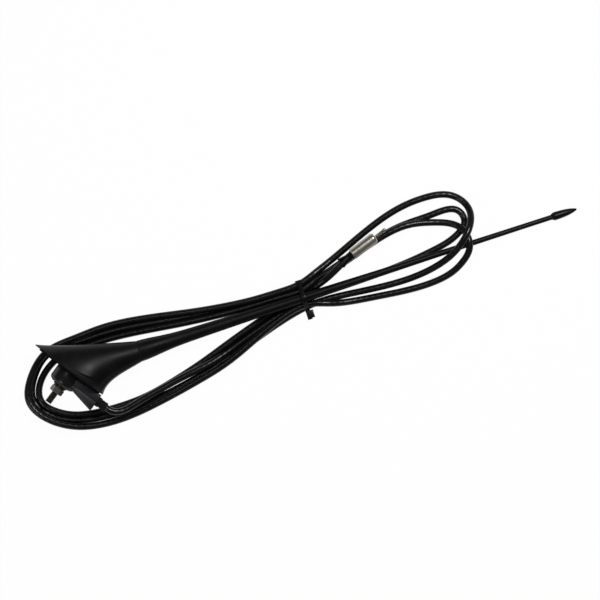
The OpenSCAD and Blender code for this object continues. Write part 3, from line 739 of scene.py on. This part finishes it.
class AERIAL_OT_inside(bpy.types.Operator):
    """Dress the casting, the bush, the socket and the wire inside the base"""
    bl_idname = "aerial.inside"
    bl_label = "Inside"

    def execute(self, context):
        colours = context.scene.aerial_colours
        zinc = cast_zinc("Zinc alloy, cast", colours.casting)
        nylon = natural_nylon("Nylon, natural, bush", colours.nylon)
        brass = turned_metal("Brass, turned, socket", colours.brass, roughness=0.25, ring_mm=0.3)
        copper = turned_metal("Copper, drawn, wire", colours.copper, roughness=0.3, ring_mm=2.0)
        dress("base_core", "base", zinc)
        dress("socket_insulator", "base", nylon)
        dress("mast_socket", "base", brass)
        dress("feed_wire", "base", copper)
        return {"FINISHED"}


class AERIAL_OT_lead(bpy.types.Operator):
    """Lay the lead along its route, from the strain relief to the plug"""
    bl_idname = "aerial.lead"
    bl_label = "Lead"

    def execute(self, context):
        sizes = context.scene.aerial_sizes
        jacket = extruded_pvc(
            "PVC extruded over braid, lead", context.scene.aerial_colours.lead, sizes.braid_pitch)
        start = ON_TABLE @ Vector(LEAD_START)
        route = [start, *[ON_TABLE @ Vector(point) for point in LEAD_POINTS],
                 PLUG_BACK - LEAD_LAST_STEP * PLUG_WAY]
        line = smooth_line(route, LEAD_STEPS)
        lowest = sizes.lead_diameter / 2 + LEAD_LIFT
        for point in line:
            point.z = max(point.z, lowest)
        bm = swept_tube(line, sizes.lead_diameter / 2, LEAD_SIDES)
        lead = place_piece(
            bm, "lead_jacket", "base", jacket, ("antenna_lead",),
            sharp_degrees=60)
        return {"FINISHED"}


class AERIAL_OT_tie(bpy.types.Operator):
    """Dress the cable tie, with its head at the lower side of the bundle"""
    bl_idname = "aerial.tie"
    bl_label = "Cable Tie"

    def execute(self, context):
        nylon = moulded_plastic(
            "Nylon moulded, tie", context.scene.aerial_colours.tie,
            grain_mm=0.8, roughness=0.35, gloss=0.18)
        band = copy_of("cable_tie")
        cut_off(band, ON_TABLE @ Vector((0, TIE_TRIM, 0)), (0, 1, 0))
        ease_edges(band, width_mm=0.2)
        head_place = ON_TABLE @ Matrix.Translation(TIE_HEAD_AT)
        head = eased_block(TIE_HEAD_SIZE, head_place, eased_mm=0.35)
        place_piece(
            joined(band, head), "cable_tie_dressed", "base", nylon,
            ("cable_tie",), sharp_degrees=40)
        return {"FINISHED"}


class AERIAL_OT_plug(bpy.types.Operator):
    """Turn the plug's sleeve and pin, form its crimp, and dress its insulator"""
    bl_idname = "aerial.plug"
    bl_label = "Plug"

    def execute(self, context):
        colours = context.scene.aerial_colours
        nickel = turned_metal(
            "Nickel plate, satin, sleeve", colours.nickel, roughness=0.3, ring_mm=3.0)
        # A darker copy of the sleeve's nickel: painted shade on the pin
        shaded_nickel = turned_metal(
            "Nickel plate, darkened as painted shade, pin", colours.pin, roughness=0.22, ring_mm=3.0)
        browned = aged_metal(
            "Brass, browned, crimp", colours.crimp, colours.brass, roughness=0.34, stained=0.0)
        nylon = natural_nylon("Nylon, natural, plug", colours.nylon)
        sleeve = turned(SLEEVE_PROFILE, ON_PLUG, steps=48)
        place_piece(sleeve, "plug_sleeve_dressed", "base", nickel, ("plug_sleeve",))
        pin = turned(PIN_PROFILE, ON_PLUG, steps=32)
        place_piece(pin, "plug_pin_dressed", "base", shaded_nickel, ("plug_pin",))
        barrel = turned(CRIMP_PROFILE, ON_PLUG, steps=40)
        crimp = joined(barrel, crimp_claw(-1), crimp_claw(1))
        place_piece(crimp, "plug_crimp_dressed", "base", browned, ("plug_crimp",))
        dress("plug_insulator", "base", nylon)
        return {"FINISHED"}


class AERIAL_OT_stage(bpy.types.Operator):
    """Set the camera, the table and the lights"""
    bl_idname = "aerial.stage"
    bl_label = "Stage"

    def execute(self, context):
        set_camera(context.scene)
        set_table(context.scene)
        set_lights(context.scene)
        return {"FINISHED"}


def set_camera(scene):
    """A long lens straight above the middle of the picture."""
    data = bpy.data.cameras.new("camera")
    data.lens = LENS_MM
    data.sensor_width = SENSOR_MM
    data.clip_end = 20
    camera = bpy.data.objects.new("camera", data)
    height = PICTURE_WIDTH * LENS_MM / SENSOR_MM
    camera.location = ON_TABLE @ Vector(PICTURE_MIDDLE) + Vector((0, 0, height))
    camera.rotation_euler = (0, 0, -PICTURE_ROLL)
    scene.collection.objects.link(camera)
    scene.camera = camera


def set_table(scene):
    """A pale sheet that looks white to the camera, and still takes a faint shadow."""
    made, tree = start_material("White paper sheet, table")
    seen = add_node(tree, "ShaderNodeLightPath")
    either = add_node(tree, "ShaderNodeMath", {
        0: seen.outputs["Is Camera Ray"], 1: seen.outputs["Is Glossy Ray"]}, operation="MAXIMUM")
    share = add_node(tree, "ShaderNodeMath", {
        0: either.outputs[0], 1: SHEET_OWN_WHITE}, operation="MULTIPLY")
    matt = add_node(tree, "ShaderNodeBsdfDiffuse", {"Color": rgba((1, 1, 1), SHEET_TONE)})
    glow = add_node(tree, "ShaderNodeEmission", {"Color": rgba((1, 1, 1)), "Strength": 1.0})
    mixed = add_node(tree, "ShaderNodeMixShader", {
        0: share.outputs[0], 1: matt.outputs[0], 2: glow.outputs[0]})
    end_material(made, tree, mixed)
    bm = bmesh.new()
    bmesh.ops.create_grid(bm, x_segments=1, y_segments=1, size=TABLE_SIZE / 2)
    mesh = bpy.data.meshes.new("table")
    bm.to_mesh(mesh)
    bm.free()
    mesh.materials.append(made)
    table = bpy.data.objects.new("table", mesh)
    scene.collection.objects.link(table)


def set_lights(scene):
    """A weak sky that is white to the camera, and softboxes: the main one high beyond the mast's
    tip, a weaker one lower beyond the base, and the weakest high at the back."""
    world = bpy.data.worlds.new("studio")
    world.use_nodes = True
    tree = world.node_tree
    tree.nodes.clear()
    white = rgba((1, 1, 1))
    sky = add_node(tree, "ShaderNodeBackground", {"Color": white, "Strength": SKY_STRENGTH})
    backdrop = add_node(tree, "ShaderNodeBackground", {"Color": white, "Strength": 1.0})
    seen = add_node(tree, "ShaderNodeLightPath")
    mixed = add_node(tree, "ShaderNodeMixShader", {
        0: seen.outputs["Is Camera Ray"], 1: sky.outputs[0], 2: backdrop.outputs[0]})
    add_node(tree, "ShaderNodeOutputWorld", {"Surface": mixed.outputs[0]})
    scene.world = world
    for name, spot, size, power in SOFTBOXES:
        lamp = bpy.data.lights.new(name, "AREA")
        lamp.size = size
        lamp.energy = power
        box = bpy.data.objects.new(name, lamp)
        box.location = spot
        box.rotation_euler = (-Vector(spot)).to_track_quat("-Z", "Y").to_euler()
        scene.collection.objects.link(box)


class AERIAL_PT_panel(bpy.types.Panel):
    """The aerial's pieces, sizes and colours"""
    bl_idname = "AERIAL_PT_panel"
    bl_label = "Car Mast Aerial"
    bl_space_type = "VIEW_3D"
    bl_region_type = "UI"
    bl_category = "Aerial"

    def draw(self, context):
        column = self.layout.column(align=True)
        for operator in OPERATORS:
            column.operator(operator.bl_idname)
        for group in (context.scene.aerial_sizes, context.scene.aerial_colours):
            column = self.layout.column(align=True)
            for name in group.__annotations__:
                column.prop(group, name)


# The lead comes last
OPERATORS = (
    AERIAL_OT_stage, AERIAL_OT_base, AERIAL_OT_roof_fixing, AERIAL_OT_boot, AERIAL_OT_mast,
    AERIAL_OT_inside, AERIAL_OT_tie, AERIAL_OT_plug, AERIAL_OT_lead)
CLASSES = (AerialSizes, AerialColours, *OPERATORS, AERIAL_PT_panel)


def register():
    """Adds the classes and the scene's two groups of settings."""
    for cls in CLASSES:
        bpy.utils.register_class(cls)
    bpy.types.Scene.aerial_sizes = bpy.props.PointerProperty(type=AerialSizes)
    bpy.types.Scene.aerial_colours = bpy.props.PointerProperty(type=AerialColours)


def unregister():
    """Takes them away again."""
    del bpy.types.Scene.aerial_colours
    del bpy.types.Scene.aerial_sizes
    for cls in reversed(CLASSES):
        bpy.utils.unregister_class(cls)


def main():
    """Builds the aerial and its stage."""
    register()
    bpy.context.scene.view_settings.view_transform = "Standard"
    for operator in OPERATORS:
        group, name = operator.bl_idname.split(".")
        getattr(getattr(bpy.ops, group), name)()


if __name__ == "__main__":
    main()
